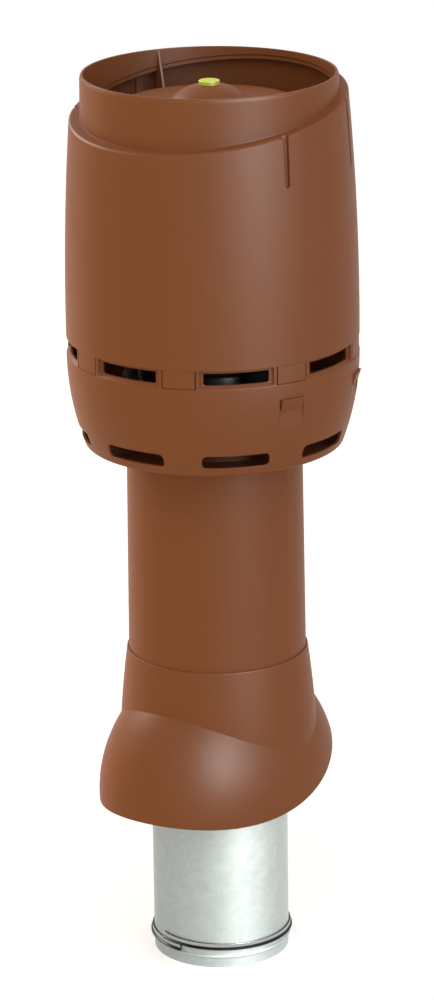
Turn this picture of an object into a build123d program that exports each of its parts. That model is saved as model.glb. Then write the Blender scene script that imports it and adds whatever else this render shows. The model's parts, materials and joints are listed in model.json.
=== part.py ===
from build123d import *
import math
import os

# Insulated roof vent for a pitched roof. A galvanised duct runs up inside a plastic pipe
# with an insulation sleeve between them. A cowl is snapped together on top, and a flared
# skirt sheds water over the roof pass-through. Sizes are in millimetres. +Z is up, the
# origin is the centre of the duct's bottom end, and the downhill side of the roof is -Y.

os.makedirs("parts", exist_ok=True)

# Steel duct, nominal diameter 125
DUCT_RADIUS = 62.5
DUCT_WALL = 0.8
DUCT_TOP = 560.0
BEAD_HEIGHT = 10.7
BEAD_WIDTH = 3.2
BEAD_RISE = 1.5

# Lip seal and its strap, one strip wound once round the duct with overlapping ends
SEAL_BOTTOM = 12.4
SEAL_DROP = 6.4
SEAL_TURN = 380.0
SEAL_TAIL_AZIMUTH = 269.0
SEAL_HEIGHT = 6.0
SEAL_BODY = 1.3
SEAL_LIP = 3.2
STRAP_HEIGHT = 3.1
STRAP_THICKNESS = 0.4

# Outer pipe, nominal diameter 160, moulded with a little draft
PIPE_BOTTOM = 172.0
PIPE_TOP = 548.0
PIPE_MID_RADIUS = 79.1
PIPE_MID_HEIGHT = 465.0
PIPE_DRAFT = 0.0091
PIPE_WALL = 2.8

# Roof skirt: a sleeve on the pipe that runs into an oval dome with an arched rim
SKIRT_TOP = 295.5
SKIRT_TOP_RADIUS = 82.2
SKIRT_MID = (86.2, 262.0)
SKIRT_NECK = (88.5, 237.0)
SKIRT_FOOT = (92.8, 170.0)
SKIRT_WALL = 3.0
SKIRT_LAND = 9.0
DOME_CENTRE = (0.0, -1.7, 166.0)
DOME_HALF_LENGTH = 127.0
DOME_HALF_WIDTH = 97.8
DOME_RISE = 116.0
RIM_RADIUS = 300.0
RIM_LOWEST = 157.0
RIM_LOWEST_Y = -65.0

# Cowl base: a bowl below, a recessed band with windows above
BASE_BOTTOM = 490.5
BOWL_TOP = 573.0
BOWL_RADIUS = 130.4
BOWL_CURVE = 235.0
BOWL_WALL = 2.8
BOWL_EDGE_ROUND = 3.0
FLOOR_THICKNESS = 2.6
HUB_WALL = 2.6
HUB_FLANGE = 2.5
HUB_FLANGE_INNER = 68.0
WEB_THICKNESS = 2.2
WEB_TOP = 536.0
WEB_INNER = 68.0
WEB_OUTER = 132.0
BAND_RADIUS = 127.2
BAND_WALL = 2.2
BAND_TOP = 600.0
BAND_FOOT = 566.0
BAND_SKIM = 0.15
BAYS = 8
BAY_ANGLE = 360.0 / BAYS
FIRST_BAY = 270.0
WINDOW_HALF = 13.0
WINDOW_BOTTOM = 576.2
WINDOW_TOP = 587.0
WINDOW_CORNER = 2.2
RIB_RADIUS = 130.0
RIB_OFFSET = 7.3
RIB_HALF = 0.6
SLOT_HALF = 14.6
SLOT_RADIUS = 117.5
SLOT_BOTTOM = 498.5
SLOT_TOP = 510.5
SLOT_CORNER = 4.0
CUTTER_REACH = 20.0

# Cowl hood: a slightly barrelled shell with a slanted shoulder and a collar
HOOD_EDGE = 589.5
HOOD_RADIUS = 130.4
HOOD_WALL = 2.4
BARREL_CURVE = 2400.0
BARREL_WIDEST = 600.0
BARREL_STEPS = 4
SHOULDER_HEIGHT = 797.0
SHOULDER_TILT = 9.6
SHOULDER_BEVEL = 1.5
COLLAR_TOP = 823.5
COLLAR_TOP_RADIUS = 113.2
COLLAR_DRAFT = 0.012
COLLAR_FOOT = 757.0
COLLAR_BORE_FOOT = 737.0
RIM_BEVEL = 1.1
RIM_BEVEL_HEIGHT = 2.8
STEP_RADIUS = 111.2
STEP_RISE = 1.8
GROOVE_DEPTH = 1.2
GROOVE_BOTTOM = 744.5
GROOVE_TOP_WIDTH = 6.4
GROOVE_FOOT_WIDTH = 4.6
GROOVE_SKIN_FOOT = 740.0
PILASTER_WIDTH = 7.8
PILASTER_DEPTH = 2.4
PILASTER_HEIGHT = 780.0
PILASTER_ROOT = 20.0

# Snap clips that join hood and base, mirrored about the slope line
CLIP_AZIMUTHS = (22.5, 157.5, 202.5, 337.5)
TONGUE_HALF = 6.3
TONGUE_RADIUS = 130.1
TONGUE_BOTTOM = 573.4
TONGUE_GAP = 0.35
ARM_INNER = 123.2
ARM_OUTER = 125.4
ARM_HALF = 4.9
ARM_TOP = 598.0
ARM_BOTTOM = 547.0
BRIDGE_HEIGHT = 7.0
BRIDGE_SINK = 0.6
HOOK_TOP = 559.0
HOOK_BOTTOM = 549.5
HOOK_RADIUS = 132.1
HOOK_HALF = 5.0
CLIP_WINDOW_HALF = 5.4
RAMP_BOTTOM = 531.0
RAMP_DEPTH = 1.9

# Fins that carry the rain deflector, and the deflector itself
FIN_AZIMUTHS = (30.0, 150.0, 270.0)
FIN_THICKNESS = 2.4
FIN_TOP = 822.7
FIN_TOP_RADII = (113.0, 110.4)
FIN_SEAT = (99.1, 789.3)
FIN_SEAT_STEP = 1.5
FIN_ROOT_HEIGHT = 720.0
FIN_ROOT_RADII = (122.0, 129.0)
FIN_BRACKET = (94.0, 16.0)
FIN_NOSE = 5.0
DISH_RADIUS = 79.5
DISH_HEIGHT = 796.0
DISH_WALL = 2.2
DISH_LIP = 4.5
DOME_SPHERE = 49.0
DOME_APEX = 814.0
DISH_SCREW_RADIUS = 70.0
BOSS_RADIUS = 4.5
SHELF_ROOT = 77.0
SHELF_THICKNESS = 3.0
SHELF_WIDTH = 11.0
SHELF_HOLE = 1.7
BOSS_DEPTH = 6.0
BOSS_HOLE = 1.6
DISH_EDGE_ROUND = 1.6
CREASE_ROUND = 4.0
ARM_SHELF = DISH_HEIGHT - DISH_WALL - BOSS_DEPTH
PLUG_RADIUS = 9.3
PLUG_TOP = 816.4
PLUG_SEAT = 812.9
PLUG_STEM = 4.8
STEM_DEPTH = 6.5
BARB_DEPTH = 4.0
BARB_RISE = 0.7

# Black outlet nozzle on top of the duct
NOZZLE_TOP = 652.0
NOZZLE_TOP_RADIUS = 76.0
NOZZLE_WALL = 2.0
SOCKET_DEPTH = 14.0
NOZZLE_FLANGE = 78.5
NOZZLE_FLANGE_DEPTH = 2.2
NOZZLE_FOOT = 4.4
SOCKET_WALL = 2.4
NOZZLE_ROUND = 0.8

# Pipe screws through the hub
SCREW_HEIGHT = 520.0
SCREW_AZIMUTHS = (0.0, 90.0, 180.0, 270.0)
SCREW_HEAD_RADIUS = 4.0
SCREW_HEAD = 2.4
SCREW_SHANK_RADIUS = 1.9
SCREW_ROUND = 0.9
SCREW_RUN_OUT = 1.0

BIG = 500.0
CLEAR = 0.05
LAP = 0.2


def rz(radius, height):
    """A point of a section, at a radius and a height."""
    return (radius, 0.0, height)


def turned(edges):
    """A solid of revolution about the vent's axis from the edges of a section."""
    return revolve(make_face(edges), axis=Axis.Z)


def turned_polygon(*points):
    """A solid of revolution from a section with straight sides."""
    return turned(Polyline(*[rz(*p) for p in points], close=True).edges())


def ring(inner, outer, bottom, top):
    """A plain ring with square edges."""
    return turned_polygon((inner, bottom), (outer, bottom), (outer, top), (inner, top))


def sector(inner, outer, half_angle, azimuth, bottom, top):
    """A block cut from a ring, symmetric about an azimuth in degrees."""
    start = azimuth - half_angle
    outside = CenterArc((0, 0), outer, start, 2 * half_angle)
    inside = CenterArc((0, 0), inner, start, 2 * half_angle)
    sides = [Line(inside @ 0, outside @ 0), Line(inside @ 1, outside @ 1)]
    face = make_face([outside.edge(), inside.edge(), sides[0].edge(), sides[1].edge()])
    return Pos(0, 0, bottom) * extrude(face, amount=top - bottom)


def facing(azimuth):
    """A plane through the axis that faces outwards, with its Y axis up."""
    a = math.radians(azimuth)
    return Plane(
        origin=(0, 0, 0),
        x_dir=(-math.sin(a), math.cos(a), 0),
        z_dir=(math.cos(a), math.sin(a), 0),
    )


def beside(azimuth):
    """A plane that holds the axis and an azimuth, with X outwards and Y up."""
    a = math.radians(azimuth)
    return Plane(
        origin=(0, 0, 0),
        x_dir=(math.cos(a), math.sin(a), 0),
        z_dir=(math.sin(a), -math.cos(a), 0),
    )


def pipe_radius(height):
    """Outer radius of the drafted pipe."""
    return PIPE_MID_RADIUS + (PIPE_MID_HEIGHT - height) * PIPE_DRAFT


def barrel_radius(height):
    """Outer radius of the hood's barrel."""
    rise = height - BARREL_WIDEST
    return HOOD_RADIUS - BARREL_CURVE + math.sqrt(BARREL_CURVE**2 - rise**2)


def bowl_radius(height):
    """Outer radius of the bowl."""
    drop = BOWL_TOP - height
    return BOWL_RADIUS - BOWL_CURVE + math.sqrt(BOWL_CURVE**2 - drop**2)


def collar_radius(height):
    """Outer radius of the hood's collar."""
    return COLLAR_TOP_RADIUS + (COLLAR_TOP - height) * COLLAR_DRAFT


def make_duct():
    """Thin steel tube with a rolled bead near its lower end."""
    half = BEAD_WIDTH / 2

    def wall(radius):
        low = rz(radius, BEAD_HEIGHT - half)
        high = rz(radius, BEAD_HEIGHT + half)
        crest = rz(radius + BEAD_RISE, BEAD_HEIGHT)
        return [
            Line(rz(radius, 0), low).edge(),
            ThreePointArc(low, crest, high).edge(),
            Line(high, rz(radius, DUCT_TOP)).edge(),
        ]

    inner = DUCT_RADIUS - DUCT_WALL
    ends = [
        Line(rz(inner, 0), rz(DUCT_RADIUS, 0)).edge(),
        Line(rz(inner, DUCT_TOP), rz(DUCT_RADIUS, DUCT_TOP)).edge(),
    ]
    return turned(wall(DUCT_RADIUS) + wall(inner) + ends)


def wound_strip(points):
    """A section swept once round the duct along a falling helix."""
    pitch = SEAL_DROP * 360.0 / SEAL_TURN
    radius, low = points[0]
    path = Helix(pitch=pitch, height=SEAL_DROP, radius=radius, lefthand=True)
    outline = Polyline(*[rz(r, z - low) for r, z in points], close=True)
    strip = sweep(make_face(outline.edges()), path=path.edge(), is_frenet=True)
    return Pos(0, 0, SEAL_BOTTOM + low) * Rot(0, 0, SEAL_TAIL_AZIMUTH) * strip


def make_lip_seal():
    """Rubber strip with one lip that stands out, wound round the duct."""
    root = DUCT_RADIUS + CLEAR
    body = root + SEAL_BODY
    return wound_strip([
        (root, 0),
        (body, 0),
        (DUCT_RADIUS + SEAL_LIP, 0.5),
        (DUCT_RADIUS + SEAL_LIP, 1.3),
        (body, 2.6),
        (body, SEAL_HEIGHT),
        (root, SEAL_HEIGHT),
    ])


def make_seal_strap():
    """Thin steel strap that clamps the upper part of the seal."""
    inside = DUCT_RADIUS + CLEAR + SEAL_BODY + CLEAR
    low = SEAL_HEIGHT - STRAP_HEIGHT
    return wound_strip([
        (inside, low),
        (inside + STRAP_THICKNESS, low),
        (inside + STRAP_THICKNESS, SEAL_HEIGHT),
        (inside, SEAL_HEIGHT),
    ])


def make_outer_pipe():
    """Drafted plastic pipe."""
    low = pipe_radius(PIPE_BOTTOM)
    high = pipe_radius(PIPE_TOP)
    return turned_polygon(
        (low - PIPE_WALL, PIPE_BOTTOM),
        (low, PIPE_BOTTOM),
        (high, PIPE_TOP),
        (high - PIPE_WALL, PIPE_TOP),
    )


def make_insulation():
    """Foam sleeve that fills the space between duct and pipe."""
    gap = PIPE_WALL + CLEAR
    inner = DUCT_RADIUS + CLEAR
    return turned_polygon(
        (inner, PIPE_BOTTOM),
        (pipe_radius(PIPE_BOTTOM) - gap, PIPE_BOTTOM),
        (pipe_radius(PIPE_TOP) - gap, PIPE_TOP),
        (inner, PIPE_TOP),
    )


def make_roof_skirt():
    """Sleeve that runs into an oval dome, cut below by an arch that fits the pass-through."""

    def sleeve(inset, top, top_radius):
        neck = ThreePointArc(
            rz(top_radius, top),
            rz(SKIRT_MID[0] - inset, SKIRT_MID[1]),
            rz(SKIRT_NECK[0] - inset, SKIRT_NECK[1]),
        )
        foot = rz(SKIRT_FOOT[0] - inset, SKIRT_FOOT[1])
        low = SKIRT_FOOT[1]
        lines = Polyline(neck @ 1, foot, rz(0, low), rz(0, top), neck @ 0)
        return turned([neck.edge()] + list(lines.edges()))

    def dome(inset):
        size = (DOME_HALF_WIDTH - inset, DOME_HALF_LENGTH - inset, DOME_RISE - inset)
        return Pos(*DOME_CENTRE) * scale(Sphere(1), by=size)

    outside = sleeve(0, SKIRT_TOP, SKIRT_TOP_RADIUS)
    rim = outside.edges().filter_by(GeomType.CIRCLE).sort_by(Axis.Z)[-1]
    outside = fillet(rim, 1.2) + dome(0)
    land_foot = SKIRT_TOP - SKIRT_LAND
    land = pipe_radius(land_foot) + CLEAR
    bore = ring(0, land, SKIRT_FOOT[1], SKIRT_TOP + 1)
    inside = sleeve(SKIRT_WALL, land_foot, land) + dome(SKIRT_WALL)
    arch_axis = (0, RIM_LOWEST_Y, RIM_LOWEST + RIM_RADIUS)
    arch = Pos(*arch_axis) * Rot(0, 90, 0) * Cylinder(RIM_RADIUS, BIG)
    below = ring(0, SKIRT_FOOT[0] - SKIRT_WALL, 0, SKIRT_FOOT[1] + 1)
    return (outside - inside - bore - below) & arch


def bowl_body(inset, bottom):
    """Solid of the bowl's outer form, drawn in by an inset."""
    middle = (bottom + BOWL_TOP) / 2
    side = ThreePointArc(
        rz(bowl_radius(bottom) - inset, bottom),
        rz(bowl_radius(middle) - inset, middle),
        rz(bowl_radius(BOWL_TOP) - inset, BOWL_TOP),
    )
    rest = Polyline(side @ 1, rz(0, BOWL_TOP), rz(0, bottom), side @ 0)
    return turned([side.edge()] + list(rest.edges()))


def rounded_opening(half_angle, radius, bottom, top, corner, azimuth, round_top):
    """Cutter for an opening in a wall, with rounded corners below or all round."""
    width = 2 * radius * math.sin(math.radians(half_angle))
    height = top - bottom
    outline = Pos(0, (bottom + top) / 2) * Rectangle(width, height)
    corners = outline.vertices().sort_by(Axis.Y)
    outline = fillet(corners if round_top else corners[:2], corner)
    cutter = extrude(outline, amount=2 * CUTTER_REACH)
    return facing(azimuth) * Pos(0, 0, radius - CUTTER_REACH) * cutter


def make_hood_base():
    """Bowl with drain slots, a hub on the pipe, and a band with windows above."""
    body = bowl_body(0, BASE_BOTTOM)
    body = fillet(body.edges().filter_by(GeomType.CIRCLE).sort_by(Axis.Z)[0], BOWL_EDGE_ROUND)
    sill = turned_polygon(
        (BAND_RADIUS - BAND_WALL, BAND_FOOT),
        (BOWL_RADIUS - 1.5, BAND_FOOT),
        (BOWL_RADIUS, BOWL_TOP),
        (BAND_RADIUS, BOWL_TOP + 3.0),
        (BAND_RADIUS, BAND_TOP),
        (BAND_RADIUS - BAND_WALL, BAND_TOP),
    )
    wall = body - bowl_body(BOWL_WALL, BASE_BOTTOM + FLOOR_THICKNESS) + sill
    wall -= ring(0, WEB_INNER, 0, BASE_BOTTOM + FLOOR_THICKNESS + 1)

    hub_top = PIPE_TOP + HUB_FLANGE
    low = pipe_radius(BASE_BOTTOM) + CLEAR
    high = pipe_radius(PIPE_TOP) + CLEAR
    hub = turned_polygon(
        (low, BASE_BOTTOM),
        (low + HUB_WALL, BASE_BOTTOM),
        (low + HUB_WALL, hub_top),
        (HUB_FLANGE_INNER, hub_top),
        (HUB_FLANGE_INNER, PIPE_TOP),
        (high, PIPE_TOP),
    )
    wall -= turned_polygon((0, 0), (low, 0), (low, BASE_BOTTOM), (high, PIPE_TOP), (0, PIPE_TOP))
    wall += hub

    webs = []
    ribs = []
    cutters = []
    floor_top = BASE_BOTTOM + FLOOR_THICKNESS
    inside = bowl_body(BOWL_WALL - 0.4, BASE_BOTTOM)
    for bay in range(BAYS):
        azimuth = FIRST_BAY + bay * BAY_ANGLE
        between = azimuth + BAY_ANGLE / 2
        block = Pos((WEB_INNER + WEB_OUTER) / 2, 0, (floor_top + WEB_TOP - 1.0) / 2)
        block *= Box(WEB_OUTER - WEB_INNER, WEB_THICKNESS, WEB_TOP - floor_top + 1.0)
        webs.append(Rot(0, 0, between) * block & inside)
        for side in (-1, 1):
            centre = between + side * RIB_OFFSET
            ribs.append(sector(BAND_RADIUS - 1, RIB_RADIUS, RIB_HALF, centre, BOWL_TOP - 1.5, HOOD_EDGE))
        cutters.append(rounded_opening(
            WINDOW_HALF, BAND_RADIUS, WINDOW_BOTTOM, WINDOW_TOP, WINDOW_CORNER, azimuth, False
        ))
        cutters.append(rounded_opening(
            SLOT_HALF, SLOT_RADIUS, SLOT_BOTTOM, SLOT_TOP, SLOT_CORNER, azimuth, True
        ))
    hub_hole = ring(0, low + HUB_WALL - 0.4, 0, WEB_TOP + 1)
    webs = [web - hub_hole for web in webs]
    wall = wall + webs + ribs
    wall -= cutters

    for bay in range(BAYS):
        between = FIRST_BAY + (bay + 0.5) * BAY_ANGLE
        wall -= sector(
            BAND_RADIUS, BOWL_RADIUS + 1, TONGUE_HALF + TONGUE_GAP, between, BOWL_TOP, HOOD_EDGE + 1
        )
    for azimuth in CLIP_AZIMUTHS:
        wall -= sector(
            ARM_INNER - 1, BAND_RADIUS + BAND_SKIM, CLIP_WINDOW_HALF, azimuth, BAND_FOOT - 1, BAND_TOP + 1
        )
        wall -= sector(
            ARM_INNER, HOOK_RADIUS, CLIP_WINDOW_HALF, azimuth, HOOK_BOTTOM, HOOK_TOP
        )
        reach = bowl_radius(HOOK_BOTTOM)
        ramp = Plane.XZ * Polyline(
            (reach - RAMP_DEPTH, HOOK_BOTTOM + 0.01),
            (bowl_radius(RAMP_BOTTOM), RAMP_BOTTOM),
            (reach + 8, RAMP_BOTTOM),
            (reach + 8, HOOK_BOTTOM + 0.01),
            close=True,
        )
        width = 2 * reach * math.sin(math.radians(CLIP_WINDOW_HALF))
        wedge = extrude(make_face(ramp.edges()), amount=width / 2, both=True)
        wall -= Rot(0, 0, azimuth) * wedge
    return wall


def barrel_body(inset, bottom, drop):
    """Solid of the hood's barrel under its slanted shoulder, drawn in by an inset."""
    top = COLLAR_TOP + 8
    heights = [bottom + (top - bottom) * k / BARREL_STEPS for k in range(BARREL_STEPS + 1)]
    side = Spline(*[rz(barrel_radius(z) - inset, z) for z in heights])
    rest = Polyline(side @ 1, rz(0, top), rz(0, bottom), side @ 0)
    body = turned([side.edge()] + list(rest.edges()))
    return body & under_shoulder(drop)


def under_shoulder(drop):
    """Everything below the slanted shoulder, lowered by a drop."""
    block = Box(BIG, BIG, BIG, align=(Align.CENTER, Align.CENTER, Align.MAX))
    return Pos(0, 0, SHOULDER_HEIGHT - drop) * Rot(SHOULDER_TILT, 0, 0) * block


def make_fin(azimuth):
    """Radial plate with a shelf that carries the deflector."""
    outline = Polyline(
        (FIN_TOP_RADII[0], FIN_TOP),
        (FIN_TOP_RADII[1], FIN_TOP),
        FIN_SEAT,
        (FIN_SEAT[0] - FIN_SEAT_STEP, ARM_SHELF),
        (SHELF_ROOT, ARM_SHELF),
        (SHELF_ROOT, ARM_SHELF - FIN_NOSE),
        (FIN_BRACKET[0], ARM_SHELF - FIN_BRACKET[1]),
        (FIN_ROOT_RADII[0], FIN_ROOT_HEIGHT),
        (FIN_ROOT_RADII[1], FIN_ROOT_HEIGHT),
        close=True,
    )
    plate = extrude(make_face(outline.edges()), amount=FIN_THICKNESS / 2, both=True)
    lying = Rot(90, 0, 0)
    middle = ARM_SHELF - SHELF_THICKNESS / 2
    length = SHELF_ROOT + SHELF_THICKNESS - DISH_SCREW_RADIUS
    spot = Pos(DISH_SCREW_RADIUS, middle, 0)
    pad = spot * lying * Cylinder(SHELF_WIDTH / 2, SHELF_THICKNESS)
    pad += spot * Pos(length / 2, 0, 0) * Box(length, SHELF_THICKNESS, SHELF_WIDTH)
    pad -= spot * lying * Cylinder(SHELF_HOLE, SHELF_THICKNESS)
    return beside(azimuth) * (plate + pad)


def make_hood_shell():
    """Barrelled hood with slanted shoulder, collar, fins, tongues and snap arms."""
    barrel = barrel_body(0, HOOD_EDGE, 0)
    edge = barrel.edges().sort_by(lambda e: e.center().Z)[-1]
    barrel = chamfer(edge, SHOULDER_BEVEL)
    bevel_foot = COLLAR_TOP - RIM_BEVEL_HEIGHT
    collar = turned_polygon(
        (0, COLLAR_FOOT),
        (collar_radius(COLLAR_FOOT), COLLAR_FOOT),
        (collar_radius(bevel_foot), bevel_foot),
        (COLLAR_TOP_RADIUS - RIM_BEVEL, COLLAR_TOP),
        (0, COLLAR_TOP),
    )
    outside = barrel + collar

    for azimuth in CLIP_AZIMUTHS:
        outline = Polyline(
            (-GROOVE_TOP_WIDTH / 2, COLLAR_TOP),
            (GROOVE_TOP_WIDTH / 2, COLLAR_TOP),
            (GROOVE_FOOT_WIDTH / 2, GROOVE_BOTTOM + GROOVE_FOOT_WIDTH / 2),
            (-GROOVE_FOOT_WIDTH / 2, GROOVE_BOTTOM + GROOVE_FOOT_WIDTH / 2),
            close=True,
        )
        foot = Pos(0, GROOVE_BOTTOM + GROOVE_FOOT_WIDTH / 2) * Circle(GROOVE_FOOT_WIDTH / 2)
        key = extrude(make_face(outline.edges()) + foot, amount=BIG / 2)
        skin = turned_polygon(
            (barrel_radius(GROOVE_SKIN_FOOT) - GROOVE_DEPTH, GROOVE_SKIN_FOOT),
            (BIG / 3, GROOVE_SKIN_FOOT),
            (BIG / 3, COLLAR_TOP),
            (barrel_radius(COLLAR_TOP) - GROOVE_DEPTH, COLLAR_TOP),
        )
        outside -= (facing(azimuth) * key) & skin

    inside = barrel_body(HOOD_WALL, HOOD_EDGE - 1, HOOD_WALL)
    inside += ring(0, STEP_RADIUS, COLLAR_BORE_FOOT, BIG * 2) & under_shoulder(-STEP_RISE)
    lip_wall = HOOD_WALL + RIM_BEVEL / 2
    inside += turned_polygon(
        (0, COLLAR_BORE_FOOT),
        (collar_radius(COLLAR_BORE_FOOT) - lip_wall, COLLAR_BORE_FOOT),
        (COLLAR_TOP_RADIUS - lip_wall, COLLAR_TOP + 1),
        (0, COLLAR_TOP + 1),
    )
    shell = outside - inside

    backing = barrel_body(HOOD_WALL / 2, HOOD_EDGE, HOOD_WALL / 2)
    for azimuth in CLIP_AZIMUTHS:
        depth = barrel_radius(PILASTER_HEIGHT) - HOOD_WALL - PILASTER_DEPTH
        height = COLLAR_TOP - GROOVE_BOTTOM
        post = Box(PILASTER_ROOT, PILASTER_WIDTH, height, align=(Align.MIN, Align.CENTER, Align.MIN))
        post = Pos(depth, 0, GROOVE_BOTTOM) * post
        shell += Rot(0, 0, azimuth) * post & backing
    for azimuth in FIN_AZIMUTHS:
        shell += make_fin(azimuth) & outside

    for bay in range(BAYS):
        between = FIRST_BAY + (bay + 0.5) * BAY_ANGLE
        shell += sector(
            BAND_RADIUS + 0.1, TONGUE_RADIUS, TONGUE_HALF, between, TONGUE_BOTTOM, HOOD_EDGE + 2
        )
    for azimuth in CLIP_AZIMUTHS:
        shell += sector(ARM_INNER, ARM_OUTER, ARM_HALF, azimuth, ARM_BOTTOM, ARM_TOP)
        reach = barrel_radius(ARM_TOP) - HOOD_WALL + BRIDGE_SINK
        shell += sector(ARM_OUTER - LAP, reach, ARM_HALF, azimuth, ARM_TOP - BRIDGE_HEIGHT, ARM_TOP)
        hook = Plane.XZ * Polyline(
            (ARM_OUTER - LAP, HOOK_BOTTOM + 0.1),
            (bowl_radius(HOOK_BOTTOM), HOOK_BOTTOM + 0.1),
            (HOOK_RADIUS, HOOK_TOP),
            (ARM_OUTER - LAP, HOOK_TOP),
            close=True,
        )
        width = 2 * ARM_OUTER * math.sin(math.radians(HOOK_HALF))
        wedge = extrude(make_face(hook.edges()), amount=width / 2, both=True)
        shell += Rot(0, 0, azimuth) * wedge
    return shell


def make_deflector():
    """Round dish with a turned-down lip and a domed middle, on three bosses."""
    centre = DOME_APEX - DOME_SPHERE
    foot = math.sqrt(DOME_SPHERE**2 - (DISH_HEIGHT - centre) ** 2)
    plate = turned_polygon(
        (0, DISH_HEIGHT - DISH_WALL),
        (DISH_RADIUS - DISH_WALL, DISH_HEIGHT - DISH_WALL),
        (DISH_RADIUS - DISH_WALL, DISH_HEIGHT - DISH_LIP),
        (DISH_RADIUS, DISH_HEIGHT - DISH_LIP),
        (DISH_RADIUS, DISH_HEIGHT),
        (0, DISH_HEIGHT),
    )
    outer_edge = plate.edges().filter_by(GeomType.CIRCLE).sort_by(Axis.Z)[-1]
    plate = fillet(outer_edge, DISH_EDGE_ROUND)
    above = Pos(0, 0, DISH_HEIGHT - DISH_WALL + 50) * Box(BIG, BIG, 100)
    dome = Pos(0, 0, centre) * Sphere(DOME_SPHERE) & above
    hollow = Pos(0, 0, centre) * Sphere(DOME_SPHERE - DISH_WALL)
    dish = plate + dome
    crease = [
        e for e in dish.edges().filter_by(GeomType.CIRCLE)
        if abs(e.radius - foot) < 0.5 and abs(e.center().Z - DISH_HEIGHT) < 0.1
    ]
    dish = fillet(crease, CREASE_ROUND)
    dish -= hollow
    dish -= ring(0, PLUG_STEM + 0.1, DISH_HEIGHT, DOME_APEX + 5)
    dish -= ring(0, PLUG_RADIUS, PLUG_SEAT, DOME_APEX + 5)
    for azimuth in FIN_AZIMUTHS:
        boss = Cylinder(BOSS_RADIUS, BOSS_DEPTH) - Cylinder(BOSS_HOLE, BOSS_DEPTH)
        spot = Pos(DISH_SCREW_RADIUS, 0, ARM_SHELF + BOSS_DEPTH / 2)
        dish += Rot(0, 0, azimuth) * spot * boss
    return dish


def make_plug():
    """Round snap plug in the middle of the dome."""
    head = ring(0, PLUG_RADIUS, PLUG_SEAT, PLUG_TOP)
    head = fillet(head.edges().sort_by(Axis.Z)[-1], 0.8)
    stem = ring(0, PLUG_STEM, PLUG_SEAT - STEM_DEPTH, PLUG_SEAT)
    barb = turned_polygon(
        (0, PLUG_SEAT - STEM_DEPTH),
        (PLUG_STEM - BARB_RISE, PLUG_SEAT - STEM_DEPTH),
        (PLUG_STEM + BARB_RISE, PLUG_SEAT - BARB_DEPTH),
        (0, PLUG_SEAT - BARB_DEPTH),
    )
    return head + stem + barb


def make_dish_screws():
    """Three pan-head screws from below, through the fin shelves into the bosses."""
    pad_bottom = ARM_SHELF - SHELF_THICKNESS
    screws = []
    for azimuth in FIN_AZIMUTHS:
        shank = ring(0, BOSS_HOLE, pad_bottom, ARM_SHELF + BOSS_DEPTH - 1)
        head = ring(0, SCREW_HEAD_RADIUS, pad_bottom - SCREW_HEAD, pad_bottom)
        head = fillet(head.edges().sort_by(Axis.Z)[0], SCREW_ROUND)
        screws.append(Rot(0, 0, azimuth) * Pos(DISH_SCREW_RADIUS, 0, 0) * (shank + head))
    return Compound(children=[s.solid() for s in screws])


def make_nozzle():
    """Flared tube that stands on the hub's flange and takes the duct's top end."""
    seat = PIPE_TOP + HUB_FLANGE
    socket = DUCT_RADIUS + CLEAR
    spigot = HUB_FLANGE_INNER - CLEAR
    tube = turned_polygon(
        (socket, seat - HUB_FLANGE),
        (spigot, seat - HUB_FLANGE),
        (spigot, seat),
        (NOZZLE_FLANGE, seat),
        (NOZZLE_FLANGE, seat + NOZZLE_FLANGE_DEPTH),
        (socket + NOZZLE_FOOT, seat + NOZZLE_FLANGE_DEPTH),
        (socket + SOCKET_WALL, seat + SOCKET_DEPTH),
        (NOZZLE_TOP_RADIUS, NOZZLE_TOP),
        (NOZZLE_TOP_RADIUS - NOZZLE_WALL, NOZZLE_TOP),
        (socket, seat + SOCKET_DEPTH),
    )
    return fillet(tube.edges().filter_by(GeomType.CIRCLE).sort_by(Axis.Z)[-2:], NOZZLE_ROUND)


def make_pipe_screws():
    """Four pan-head screws that hold the hub on the pipe."""
    face = pipe_radius(BASE_BOTTOM) + CLEAR + HUB_WALL
    length = HUB_WALL + PIPE_WALL + SCREW_RUN_OUT
    screws = []
    for azimuth in SCREW_AZIMUTHS:
        head = ring(0, SCREW_HEAD_RADIUS, 0, SCREW_HEAD)
        head = fillet(head.edges().sort_by(Axis.Z)[-1], SCREW_ROUND)
        shank = ring(0, SCREW_SHANK_RADIUS, -length, 0)
        spot = Pos(0, SCREW_HEIGHT, face)
        screws.append(facing(azimuth) * spot * (head + shank))
    return screws


def main():
    hood_base = make_hood_base()
    outer_pipe = make_outer_pipe()
    insulation = make_insulation()
    pipe_screws = make_pipe_screws()
    for screw in pipe_screws:
        hood_base -= screw
        outer_pipe -= screw
        insulation -= screw
    nodes = {
        "steel_duct": make_duct(),
        "lip_seal": make_lip_seal(),
        "seal_strap": make_seal_strap(),
        "outer_pipe": outer_pipe,
        "insulation_sleeve": insulation,
        "roof_skirt": make_roof_skirt(),
        "hood_base": hood_base,
        "pipe_screws": Compound(children=[s.solid() for s in pipe_screws]),
        "outlet_nozzle": make_nozzle(),
        "hood_shell": make_hood_shell(),
        "deflector_dish": make_deflector(),
        "dish_screws": make_dish_screws(),
        "dome_plug": make_plug(),
    }
    for name, shape in nodes.items():
        export_step(shape, f"parts/{name}.step")


main()
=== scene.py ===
import bmesh
import bpy
import json
import math
from bpy.props import FloatProperty, FloatVectorProperty, PointerProperty
from mathutils import Matrix, Vector


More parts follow.
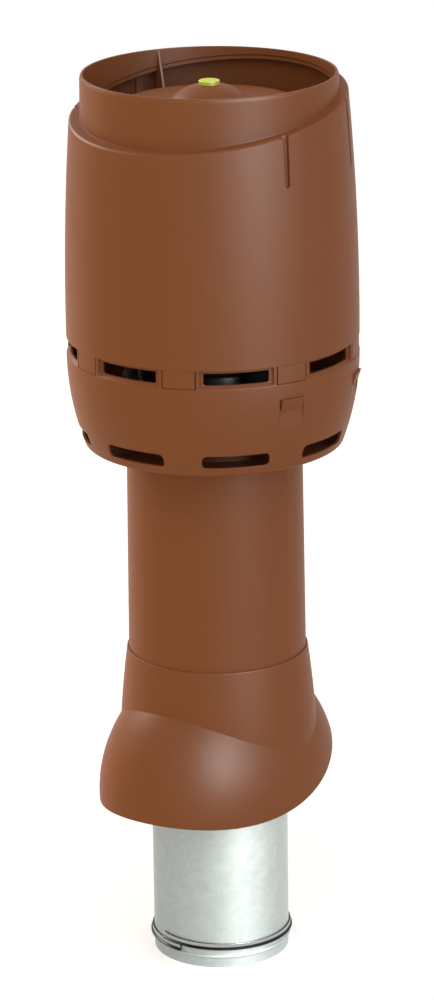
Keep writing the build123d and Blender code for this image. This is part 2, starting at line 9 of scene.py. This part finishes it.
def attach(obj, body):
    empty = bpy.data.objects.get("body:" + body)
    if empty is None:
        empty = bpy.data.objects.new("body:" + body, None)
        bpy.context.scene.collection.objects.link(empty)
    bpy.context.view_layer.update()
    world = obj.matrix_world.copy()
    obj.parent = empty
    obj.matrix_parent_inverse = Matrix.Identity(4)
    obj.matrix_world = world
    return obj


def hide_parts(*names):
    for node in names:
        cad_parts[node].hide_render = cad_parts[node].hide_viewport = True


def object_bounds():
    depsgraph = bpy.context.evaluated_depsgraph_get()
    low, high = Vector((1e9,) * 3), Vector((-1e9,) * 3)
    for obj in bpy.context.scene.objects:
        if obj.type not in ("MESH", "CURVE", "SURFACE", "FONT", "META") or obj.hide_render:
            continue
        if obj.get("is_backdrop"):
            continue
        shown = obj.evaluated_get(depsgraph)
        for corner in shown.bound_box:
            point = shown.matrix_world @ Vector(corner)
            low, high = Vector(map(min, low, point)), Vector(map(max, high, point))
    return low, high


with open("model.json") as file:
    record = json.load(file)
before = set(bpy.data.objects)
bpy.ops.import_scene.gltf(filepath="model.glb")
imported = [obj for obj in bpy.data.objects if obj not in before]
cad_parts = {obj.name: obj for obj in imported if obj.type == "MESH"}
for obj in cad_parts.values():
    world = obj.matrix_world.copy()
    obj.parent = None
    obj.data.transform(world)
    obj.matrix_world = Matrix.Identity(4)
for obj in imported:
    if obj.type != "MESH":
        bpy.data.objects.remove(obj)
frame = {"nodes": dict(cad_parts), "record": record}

bl_info = {
    "name": "Roof vent",
    "version": (1, 0, 0),
    "blender": (4, 5, 0),
    "location": "View3D > Sidebar > Roof vent",
    "description": "Finishes for an insulated roof vent, with its studio and camera",
    "category": "Object",
}

MM = 0.001

# The photographed view. The vent's origin is at the foot of its duct.
IMAGE_HEIGHT_PX = 1000
SENSOR_MM = 36.0
FOCAL_PX = 4000.0
CAMERA_AZIMUTH = math.radians(36.0)
CAMERA_DISTANCE = 3.42545
CAMERA_HEIGHT = 1.54752
CAMERA_PITCH = 0.314934
CAMERA_ROLL = -0.014697
CAMERA_YAW = 0.000423
LENS_MM = FOCAL_PX / IMAGE_HEIGHT_PX * SENSOR_MM
VIEW_DEPTH = 50.0

# The lamps turn to this point, a little above the vent's middle.
AIM = Vector((0.0, 0.0, 0.45))
WHITE = (1.0, 1.0, 1.0)
WARM_TINT = (1.0, 0.66, 0.26)

# Where the hood's solid has the grooves that lie over its snap clips
GROOVE_AZIMUTHS = (22.5, 157.5, 202.5, 337.5)
GROOVE_FOOT = 744.5 * MM
GROOVE_HEAD = 800.0 * MM
GROOVE_HALF_WIDTH = 3.3 * MM
GROOVE_FLOOR_DEPTHS = (0.6 * MM, 1.8 * MM)
BARREL_WIDEST = 600.0 * MM
BARREL_RADIUS = 130.4 * MM
BARREL_CURVE = 2400.0 * MM


def colour(*channels):
    """A linear colour with full opacity from three sRGB channels of 0 to 255."""
    linear = []
    for c in channels:
        c = c / 255.0
        linear.append(c / 12.92 if c <= 0.04045 else ((c + 0.055) / 1.055) ** 2.4)
    return (*linear, 1.0)


def colour_setting(name, description, default):
    """A colour that a user would change."""
    return FloatVectorProperty(
        name=name, description=description, subtype="COLOR", size=4, min=0.0, max=1.0, default=default,
    )


def length_setting(name, description, default, top):
    """A length in metres that a user would change."""
    return FloatProperty(
        name=name, description=description, default=default, min=0.0, max=top, precision=5,
        subtype="DISTANCE", unit="LENGTH",
    )


def power_setting(name, description, default):
    """A lamp's power in watts."""
    return FloatProperty(
        name=name, description=description, default=default, min=0.0, subtype="POWER", unit="POWER",
    )


class VentPlasticSettings(bpy.types.PropertyGroup):
    """Finish of the brick-brown mouldings."""

    base: colour_setting("Plastic colour", "Body colour of the mouldings", colour(134, 77, 40))
    roughness: FloatProperty(
        name="Roughness", description="Roughness of the satin skin", default=0.47, min=0.0, max=1.0,
    )
    gloss: FloatProperty(
        name="Gloss", description="Strength of the skin's reflection", default=0.1, min=0.0, max=1.0,
    )
    grain: length_setting("Grain", "Width of the mould grain", 0.0011, 0.01)
    edge: length_setting("Edge", "Radius that the light finds on a moulded edge", 0.0011, 0.005)


class VentHoodSettings(bpy.types.PropertyGroup):
    """Form of the hood that its solid keeps simpler."""

    groove: length_setting("Groove", "Depth that the grooves gain over the solid's", 0.0022, 0.003)


class VentMetalSettings(bpy.types.PropertyGroup):
    """Finish of the duct, its strap and the screws."""

    zinc: colour_setting("Zinc colour", "Colour of the galvanised sheet", colour(160, 166, 163))
    strap: colour_setting("Strap colour", "Colour of the bright strap", colour(158, 160, 159))
    spangle: length_setting("Spangle", "Width of one zinc crystal", 0.004, 0.05)


class VentSmallPartSettings(bpy.types.PropertyGroup):
    """Finish of the seal, nozzle, foam and plug."""

    rubber: colour_setting("Rubber colour", "Colour of the lip seal", colour(9, 9, 10))
    nozzle: colour_setting("Nozzle colour", "Colour of the outlet nozzle", colour(22, 26, 27))
    foam: colour_setting("Foam colour", "Colour of the bead foam", colour(228, 230, 230))
    bead: length_setting("Bead", "Width of one foam bead", 0.0035, 0.02)
    plug: colour_setting("Plug colour", "Colour of the dome's plug", colour(206, 214, 40))


class VentStageSettings(bpy.types.PropertyGroup):
    """Floor, lamps and world."""

    floor_size: length_setting("Floor size", "Side of the square floor", 18.0, 100.0)
    floor_shade: FloatProperty(
        name="Floor shade", description="How much light the floor gives back", default=0.8,
        min=0.0, max=1.0,
    )
    floor_lift: FloatProperty(
        name="Floor lift", description="Glow that brings the seen floor up to white", default=0.38,
        min=0.0, max=1.0,
    )
    world: FloatProperty(
        name="World", description="Strength of the surrounding light", default=0.76, min=0.0,
    )
    strip_power: power_setting("Strip lamp", "Glossy glow to the right of the camera", 500.0)
    side_power: power_setting("Side lamp", "Warm lamp behind the vent on the left", 32.0)
    glint_power: power_setting("Glint lamp", "Glossy glow behind the vent on the left", 70.0)
    top_power: power_setting("Top lamp", "Soft lamp high in front of the vent", 8.0)


def add_node(tree, kind, **values):
    """A new shader node with its properties and inputs set by name."""
    node = tree.nodes.new(kind)
    for key, value in values.items():
        if key in node.inputs:
            node.inputs[key].default_value = value
        else:
            setattr(node, key, value)
    return node


def new_material(name, base, roughness, specular=0.5, metallic=0.0):
    """A new material with its shader's even values set on the shader itself."""
    material = bpy.data.materials.new(name)
    material.use_nodes = True
    tree = material.node_tree
    shader = tree.nodes["Principled BSDF"]
    shader.inputs["Base Color"].default_value = base
    shader.inputs["Roughness"].default_value = roughness
    shader.inputs["Specular IOR Level"].default_value = specular
    shader.inputs["Metallic"].default_value = metallic
    return material, tree, shader


def vary_colour(tree, shader, mask, base, spread):
    """Base colour that runs from darker to lighter by a share, along a mask."""
    shade = add_node(tree, "ShaderNodeMix", data_type="RGBA")
    shade.inputs["A"].default_value = [c * (1.0 - spread) for c in base[:3]] + [1.0]
    shade.inputs["B"].default_value = [min(1.0, c * (1.0 + spread)) for c in base[:3]] + [1.0]
    tree.links.new(mask, shade.inputs["Factor"])
    tree.links.new(shade.outputs["Result"], shader.inputs["Base Color"])


def vary_roughness(tree, shader, mask, low, high):
    """Roughness that runs between two values along a mask."""
    spread = add_node(tree, "ShaderNodeMapRange")
    spread.inputs["To Min"].default_value = low
    spread.inputs["To Max"].default_value = high
    tree.links.new(mask, spread.inputs["Value"])
    tree.links.new(spread.outputs["Result"], shader.inputs["Roughness"])


def add_bump(tree, shader, height, depth, strength, edge=0.0):
    """Relief of a depth in metres, on a normal that is softened at the edges."""
    bump = add_node(tree, "ShaderNodeBump", Strength=strength, Distance=depth)
    tree.links.new(height, bump.inputs["Height"])
    if edge:
        soft = add_node(tree, "ShaderNodeBevel", samples=8, Radius=edge)
        tree.links.new(soft.outputs["Normal"], bump.inputs["Normal"])
    tree.links.new(bump.outputs["Normal"], shader.inputs["Normal"])


def noise(tree, width, detail=2.0, stretch=(1.0, 1.0, 1.0)):
    """Noise with features of about a width in metres, in the vent's own frame."""
    place = add_node(tree, "ShaderNodeTexCoord")
    mapping = add_node(tree, "ShaderNodeMapping", Scale=stretch)
    cloud = add_node(tree, "ShaderNodeTexNoise", Scale=1.0 / width, Detail=detail)
    tree.links.new(place.outputs["Object"], mapping.inputs["Vector"])
    tree.links.new(mapping.outputs["Vector"], cloud.inputs["Vector"])
    return cloud.outputs["Fac"]


def crystals(tree, width, output="Color"):
    """Cells of about a width in metres, in the vent's own frame."""
    place = add_node(tree, "ShaderNodeTexCoord")
    cells = add_node(tree, "ShaderNodeTexVoronoi", Scale=1.0 / width)
    tree.links.new(place.outputs["Object"], cells.inputs["Vector"])
    return cells.outputs[output]


def dress(node_names, material):
    """Puts a material on every slot of the CAD nodes."""
    for name in node_names:
        data = frame["nodes"][name].data
        if not data.materials:
            data.materials.append(material)
        for k in range(len(data.materials)):
            data.materials[k] = material


def mould_plastic(settings):
    """Satin plastic with a fine grain and slight, slow changes of shade."""
    material, tree, shader = new_material(
        "moulded_plastic", settings.base, settings.roughness, specular=settings.gloss)
    flow = noise(tree, width=120 * MM)
    vary_colour(tree, shader, flow, settings.base, spread=0.04)
    patches = noise(tree, width=20 * MM)
    vary_roughness(tree, shader, patches, settings.roughness - 0.03, settings.roughness + 0.03)
    grain = noise(tree, width=settings.grain)
    add_bump(tree, shader, grain, depth=0.12 * MM, strength=0.35, edge=settings.edge)
    return material


class VENT_OT_plastic(bpy.types.Operator):
    """Dress the brick-brown mouldings"""

    bl_idname = "vent.plastic"
    bl_label = "Plastic mouldings"

    def execute(self, context):
        subparts = frame["record"]["subparts"]
        names = [s["node"] for s in subparts if s["material_slot"] == "brick_plastic"]
        dress(names, mould_plastic(context.scene.vent_plastic))
        return {"FINISHED"}


def barrel_radius(height):
    """Outer radius of the hood's barrel."""
    rise = height - BARREL_WIDEST
    return BARREL_RADIUS - BARREL_CURVE + math.sqrt(BARREL_CURVE**2 - rise**2)


def is_groove_floor(place, out):
    """Whether a point lies on the floor of the groove that faces out."""
    across = abs(place.x * out.y - place.y * out.x)
    if place.dot(out) < 0.0 or across > GROOVE_HALF_WIDTH:
        return False
    if not GROOVE_FOOT <= place.z <= GROOVE_HEAD:
        return False
    depth = barrel_radius(place.z) - math.hypot(place.x, place.y)
    least, most = GROOVE_FLOOR_DEPTHS
    return least < depth < most


class VENT_OT_hood(bpy.types.Operator):
    """Make the hood with grooves as deep as the moulded ones"""

    bl_idname = "vent.hood"
    bl_label = "Hood"

    def execute(self, context):
        depth = context.scene.vent_hood.groove
        mesh = frame["nodes"]["hood_shell"].data.copy()
        mesh.name = "grooved_hood"
        shape = bmesh.new()
        shape.from_mesh(mesh)
        for azimuth in GROOVE_AZIMUTHS:
            turn = math.radians(azimuth)
            out = Vector((math.cos(turn), math.sin(turn), 0.0))
            floor = [v for v in shape.verts if is_groove_floor(v.co, out)]
            if not floor:
                raise RuntimeError(f"the hood has no groove at {azimuth} degrees")
            bmesh.ops.translate(shape, verts=floor, vec=-depth * out)
        shape.to_mesh(mesh)
        shape.free()
        hood = bpy.data.objects.new("grooved_hood", mesh)
        context.scene.collection.objects.link(hood)
        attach(hood, "root")
        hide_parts("hood_shell")
        return {"FINISHED"}


def galvanised_sheet(settings):
    """Zinc-coated sheet with faint crystals and rolling marks round the duct."""
    material, tree, shader = new_material("galvanised_sheet", settings.zinc, 0.3, metallic=1.0)
    vary_colour(tree, shader, crystals(tree, settings.spangle), settings.zinc, spread=0.05)
    clouds = noise(tree, width=12 * MM, detail=4.0)
    vary_roughness(tree, shader, clouds, 0.44, 0.56)
    marks = noise(tree, width=4 * MM, stretch=(0.15, 0.15, 1.0))
    add_bump(tree, shader, marks, depth=0.08 * MM, strength=0.25, edge=0.4 * MM)
    return material


def bright_metal(name, base, roughness):
    """Bright metal with fine brushed lines round the vent."""
    material, tree, shader = new_material(name, base, roughness, metallic=1.0)
    patches = noise(tree, width=2 * MM)
    vary_roughness(tree, shader, patches, roughness - 0.05, roughness + 0.08)
    lines = noise(tree, width=0.6 * MM, stretch=(0.1, 0.1, 1.0))
    add_bump(tree, shader, lines, depth=0.05 * MM, strength=0.2, edge=0.2 * MM)
    return material


class VENT_OT_metal(bpy.types.Operator):
    """Dress the duct, its strap and the screws"""

    bl_idname = "vent.metal"
    bl_label = "Metal parts"

    def execute(self, context):
        settings = context.scene.vent_metal
        dress(["steel_duct"], galvanised_sheet(settings))
        dress(["seal_strap"], bright_metal("bright_strap", settings.strap, roughness=0.2))
        screws = bright_metal("screw_zinc", settings.zinc, roughness=0.33)
        dress(["pipe_screws", "dish_screws"], screws)
        return {"FINISHED"}


def soft_rubber(settings):
    """Black rubber with a slight bloom."""
    material, tree, shader = new_material("soft_rubber", settings.rubber, 0.38, specular=0.2)
    vary_colour(tree, shader, noise(tree, width=6 * MM), settings.rubber, spread=0.25)
    vary_roughness(tree, shader, noise(tree, width=3 * MM), 0.32, 0.48)
    add_bump(tree, shader, noise(tree, width=0.8 * MM), depth=0.1 * MM, strength=0.3, edge=0.3 * MM)
    return material


def black_moulding(settings):
    """Black plastic with a fine grain."""
    material, tree, shader = new_material("black_moulding", settings.nozzle, 0.28)
    vary_colour(tree, shader, noise(tree, width=30 * MM), settings.nozzle, spread=0.15)
    vary_roughness(tree, shader, noise(tree, width=10 * MM), 0.24, 0.34)
    add_bump(tree, shader, noise(tree, width=MM), depth=0.08 * MM, strength=0.25, edge=0.5 * MM)
    return material


def bead_foam(settings):
    """White foam of fused beads."""
    material, tree, shader = new_material("bead_foam", settings.foam, 0.8)
    beads = crystals(tree, settings.bead, output="Distance")
    vary_colour(tree, shader, beads, settings.foam, spread=0.06)
    vary_roughness(tree, shader, beads, 0.7, 0.9)
    add_bump(tree, shader, beads, depth=-0.4 * MM, strength=0.6)
    return material


def plug_plastic(settings):
    """Yellow-green plastic with a fine grain."""
    material, tree, shader = new_material("plug_plastic", settings.plug, 0.42)
    vary_colour(tree, shader, noise(tree, width=10 * MM), settings.plug, spread=0.05)
    vary_roughness(tree, shader, noise(tree, width=4 * MM), 0.36, 0.48)
    add_bump(tree, shader, noise(tree, width=0.9 * MM), depth=0.08 * MM, strength=0.25, edge=0.5 * MM)
    return material


class VENT_OT_small_parts(bpy.types.Operator):
    """Dress the seal, nozzle, foam and plug"""

    bl_idname = "vent.small_parts"
    bl_label = "Seal, nozzle, foam and plug"

    def execute(self, context):
        settings = context.scene.vent_small_parts
        dress(["lip_seal"], soft_rubber(settings))
        dress(["outlet_nozzle"], black_moulding(settings))
        dress(["insulation_sleeve"], bead_foam(settings))
        dress(["dome_plug"], plug_plastic(settings))
        return {"FINISHED"}


def seen_ray(tree):
    """A mask of one for camera, glossy and transmission rays, and of zero for the rest."""
    light_path = tree.nodes.new("ShaderNodeLightPath")
    mask = light_path.outputs["Is Camera Ray"]
    for ray in ("Is Glossy Ray", "Is Transmission Ray"):
        either = add_node(tree, "ShaderNodeMath", operation="MAXIMUM")
        tree.links.new(mask, either.inputs[0])
        tree.links.new(light_path.outputs[ray], either.inputs[1])
        mask = either.outputs["Value"]
    return mask


def seen_strength(tree, hidden, seen):
    """A strength with one value for the rays that are seen and another for the rest."""
    strength = add_node(tree, "ShaderNodeMix", data_type="FLOAT")
    strength.inputs["A"].default_value = hidden
    strength.inputs["B"].default_value = seen
    tree.links.new(seen_ray(tree), strength.inputs["Factor"])
    return strength.outputs["Result"]


def add_floor(settings):
    """A square floor under the vent, white where no shadow falls on it."""
    shape = bmesh.new()
    bmesh.ops.create_grid(shape, x_segments=1, y_segments=1, size=settings.floor_size / 2)
    bmesh.ops.translate(shape, verts=shape.verts, vec=(0.0, 0.0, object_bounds()[0][2]))
    mesh = bpy.data.meshes.new("floor")
    shape.to_mesh(mesh)
    shape.free()
    shade = [settings.floor_shade] * 3 + [1.0]
    material, tree, shader = new_material("pale_floor", shade, 0.9, specular=0.1)
    shader.inputs["Emission Color"].default_value = (*WHITE, 1.0)
    tree.links.new(seen_strength(tree, 0.0, settings.floor_lift), shader.inputs["Emission Strength"])
    mesh.materials.append(material)
    floor = bpy.data.objects.new("floor", mesh)
    bpy.context.scene.collection.objects.link(floor)
    floor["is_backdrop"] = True


def add_world(settings):
    """White surroundings, softer for the light that they give."""
    world = bpy.data.worlds.new("pale_world")
    world.use_nodes = True
    tree = world.node_tree
    background = tree.nodes["Background"]
    background.inputs["Color"].default_value = (*WHITE, 1.0)
    tree.links.new(seen_strength(tree, settings.world, 1.0), background.inputs["Strength"])
    bpy.context.scene.world = world


def area_lamp(name, power, azimuth, distance, height, size, tint=WHITE, diffuse=True, glossy=True):
    """A lamp at an azimuth in degrees to the right of the camera, turned to the aim point.

    Diffuse and glossy say which kinds of reflection show it.
    """
    turn = CAMERA_AZIMUTH + math.radians(azimuth)
    place = Vector((distance * math.sin(turn), -distance * math.cos(turn), height))
    data = bpy.data.lights.new(name, "AREA")
    data.shape = "RECTANGLE"
    data.size, data.size_y = size
    data.energy = power
    data.color = tint
    lamp = bpy.data.objects.new(name, data)
    facing = (AIM - place).to_track_quat("-Z", "Y").to_matrix().to_4x4()
    lamp.matrix_world = Matrix.Translation(place) @ facing
    lamp.visible_diffuse = diffuse
    lamp.visible_glossy = glossy
    bpy.context.scene.collection.objects.link(lamp)


def add_camera():
    """The camera of the photographed view, from its fit in the vent's own frame."""
    pitch, roll, yaw = CAMERA_PITCH, CAMERA_ROLL, CAMERA_YAW
    forward = Vector((math.sin(yaw) * math.cos(pitch), math.cos(yaw) * math.cos(pitch), -math.sin(pitch)))
    right = Vector((math.cos(yaw), -math.sin(yaw), 0.0))
    up = right.cross(forward)
    tilted_right = math.cos(roll) * right + math.sin(roll) * up
    tilted_up = -math.sin(roll) * right + math.cos(roll) * up
    facing = Matrix((tilted_right, tilted_up, -forward)).transposed().to_4x4()
    place = Matrix.Translation((0.0, -CAMERA_DISTANCE, CAMERA_HEIGHT))
    data = bpy.data.cameras.new("view_camera")
    data.sensor_width = SENSOR_MM
    data.lens = LENS_MM
    data.clip_end = VIEW_DEPTH
    camera = bpy.data.objects.new("view_camera", data)
    camera.matrix_world = Matrix.Rotation(CAMERA_AZIMUTH, 4, "Z") @ place @ facing
    bpy.context.scene.collection.objects.link(camera)
    bpy.context.scene.camera = camera


class VENT_OT_stage(bpy.types.Operator):
    """Make the floor, world, lamps and camera"""

    bl_idname = "vent.stage"
    bl_label = "Floor, lamps and camera"

    def execute(self, context):
        settings = context.scene.vent_stage
        add_floor(settings)
        add_world(settings)
        add_camera()
        area_lamp("strip_lamp", settings.strip_power, azimuth=36.0, distance=2.6, height=1.6,
                  size=(1.3, 2.2), diffuse=False)
        area_lamp("side_lamp", settings.side_power, azimuth=-130.0, distance=2.5, height=1.0,
                  size=(0.9, 1.8), tint=WARM_TINT, glossy=False)
        area_lamp("glint_lamp", settings.glint_power, azimuth=-130.0, distance=2.5, height=2.0,
                  size=(0.8, 0.8), diffuse=False)
        area_lamp("top_lamp", settings.top_power, azimuth=-10.0, distance=1.6, height=2.6,
                  size=(1.0, 1.0))
        context.scene.view_settings.view_transform = "Standard"
        return {"FINISHED"}


class VENT_PT_panel(bpy.types.Panel):
    """Lists the steps that finish the vent"""

    bl_idname = "VENT_PT_panel"
    bl_label = "Roof vent"
    bl_space_type = "VIEW_3D"
    bl_region_type = "UI"
    bl_category = "Roof vent"

    def draw(self, context):
        for operator in OPERATORS:
            self.layout.operator(operator.bl_idname)


SETTINGS = {
    "vent_plastic": VentPlasticSettings,
    "vent_hood": VentHoodSettings,
    "vent_metal": VentMetalSettings,
    "vent_small_parts": VentSmallPartSettings,
    "vent_stage": VentStageSettings,
}
OPERATORS = (VENT_OT_plastic, VENT_OT_hood, VENT_OT_metal, VENT_OT_small_parts, VENT_OT_stage)


def register():
    """Registers the settings, operators and panel."""
    for name, group in SETTINGS.items():
        bpy.utils.register_class(group)
        setattr(bpy.types.Scene, name, PointerProperty(type=group))
    for operator in OPERATORS:
        bpy.utils.register_class(operator)
    bpy.utils.register_class(VENT_PT_panel)


def unregister():
    """Takes the panel, operators and settings out again."""
    bpy.utils.unregister_class(VENT_PT_panel)
    for operator in reversed(OPERATORS):
        bpy.utils.unregister_class(operator)
    for name, group in SETTINGS.items():
        delattr(bpy.types.Scene, name)
        bpy.utils.unregister_class(group)


def main():
    """Registers the settings and operators and finishes the vent."""
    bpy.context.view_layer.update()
    register()
    bpy.ops.vent.plastic()
    bpy.ops.vent.hood()
    bpy.ops.vent.metal()
    bpy.ops.vent.small_parts()
    bpy.ops.vent.stage()


if __name__ == "__main__":
    main()
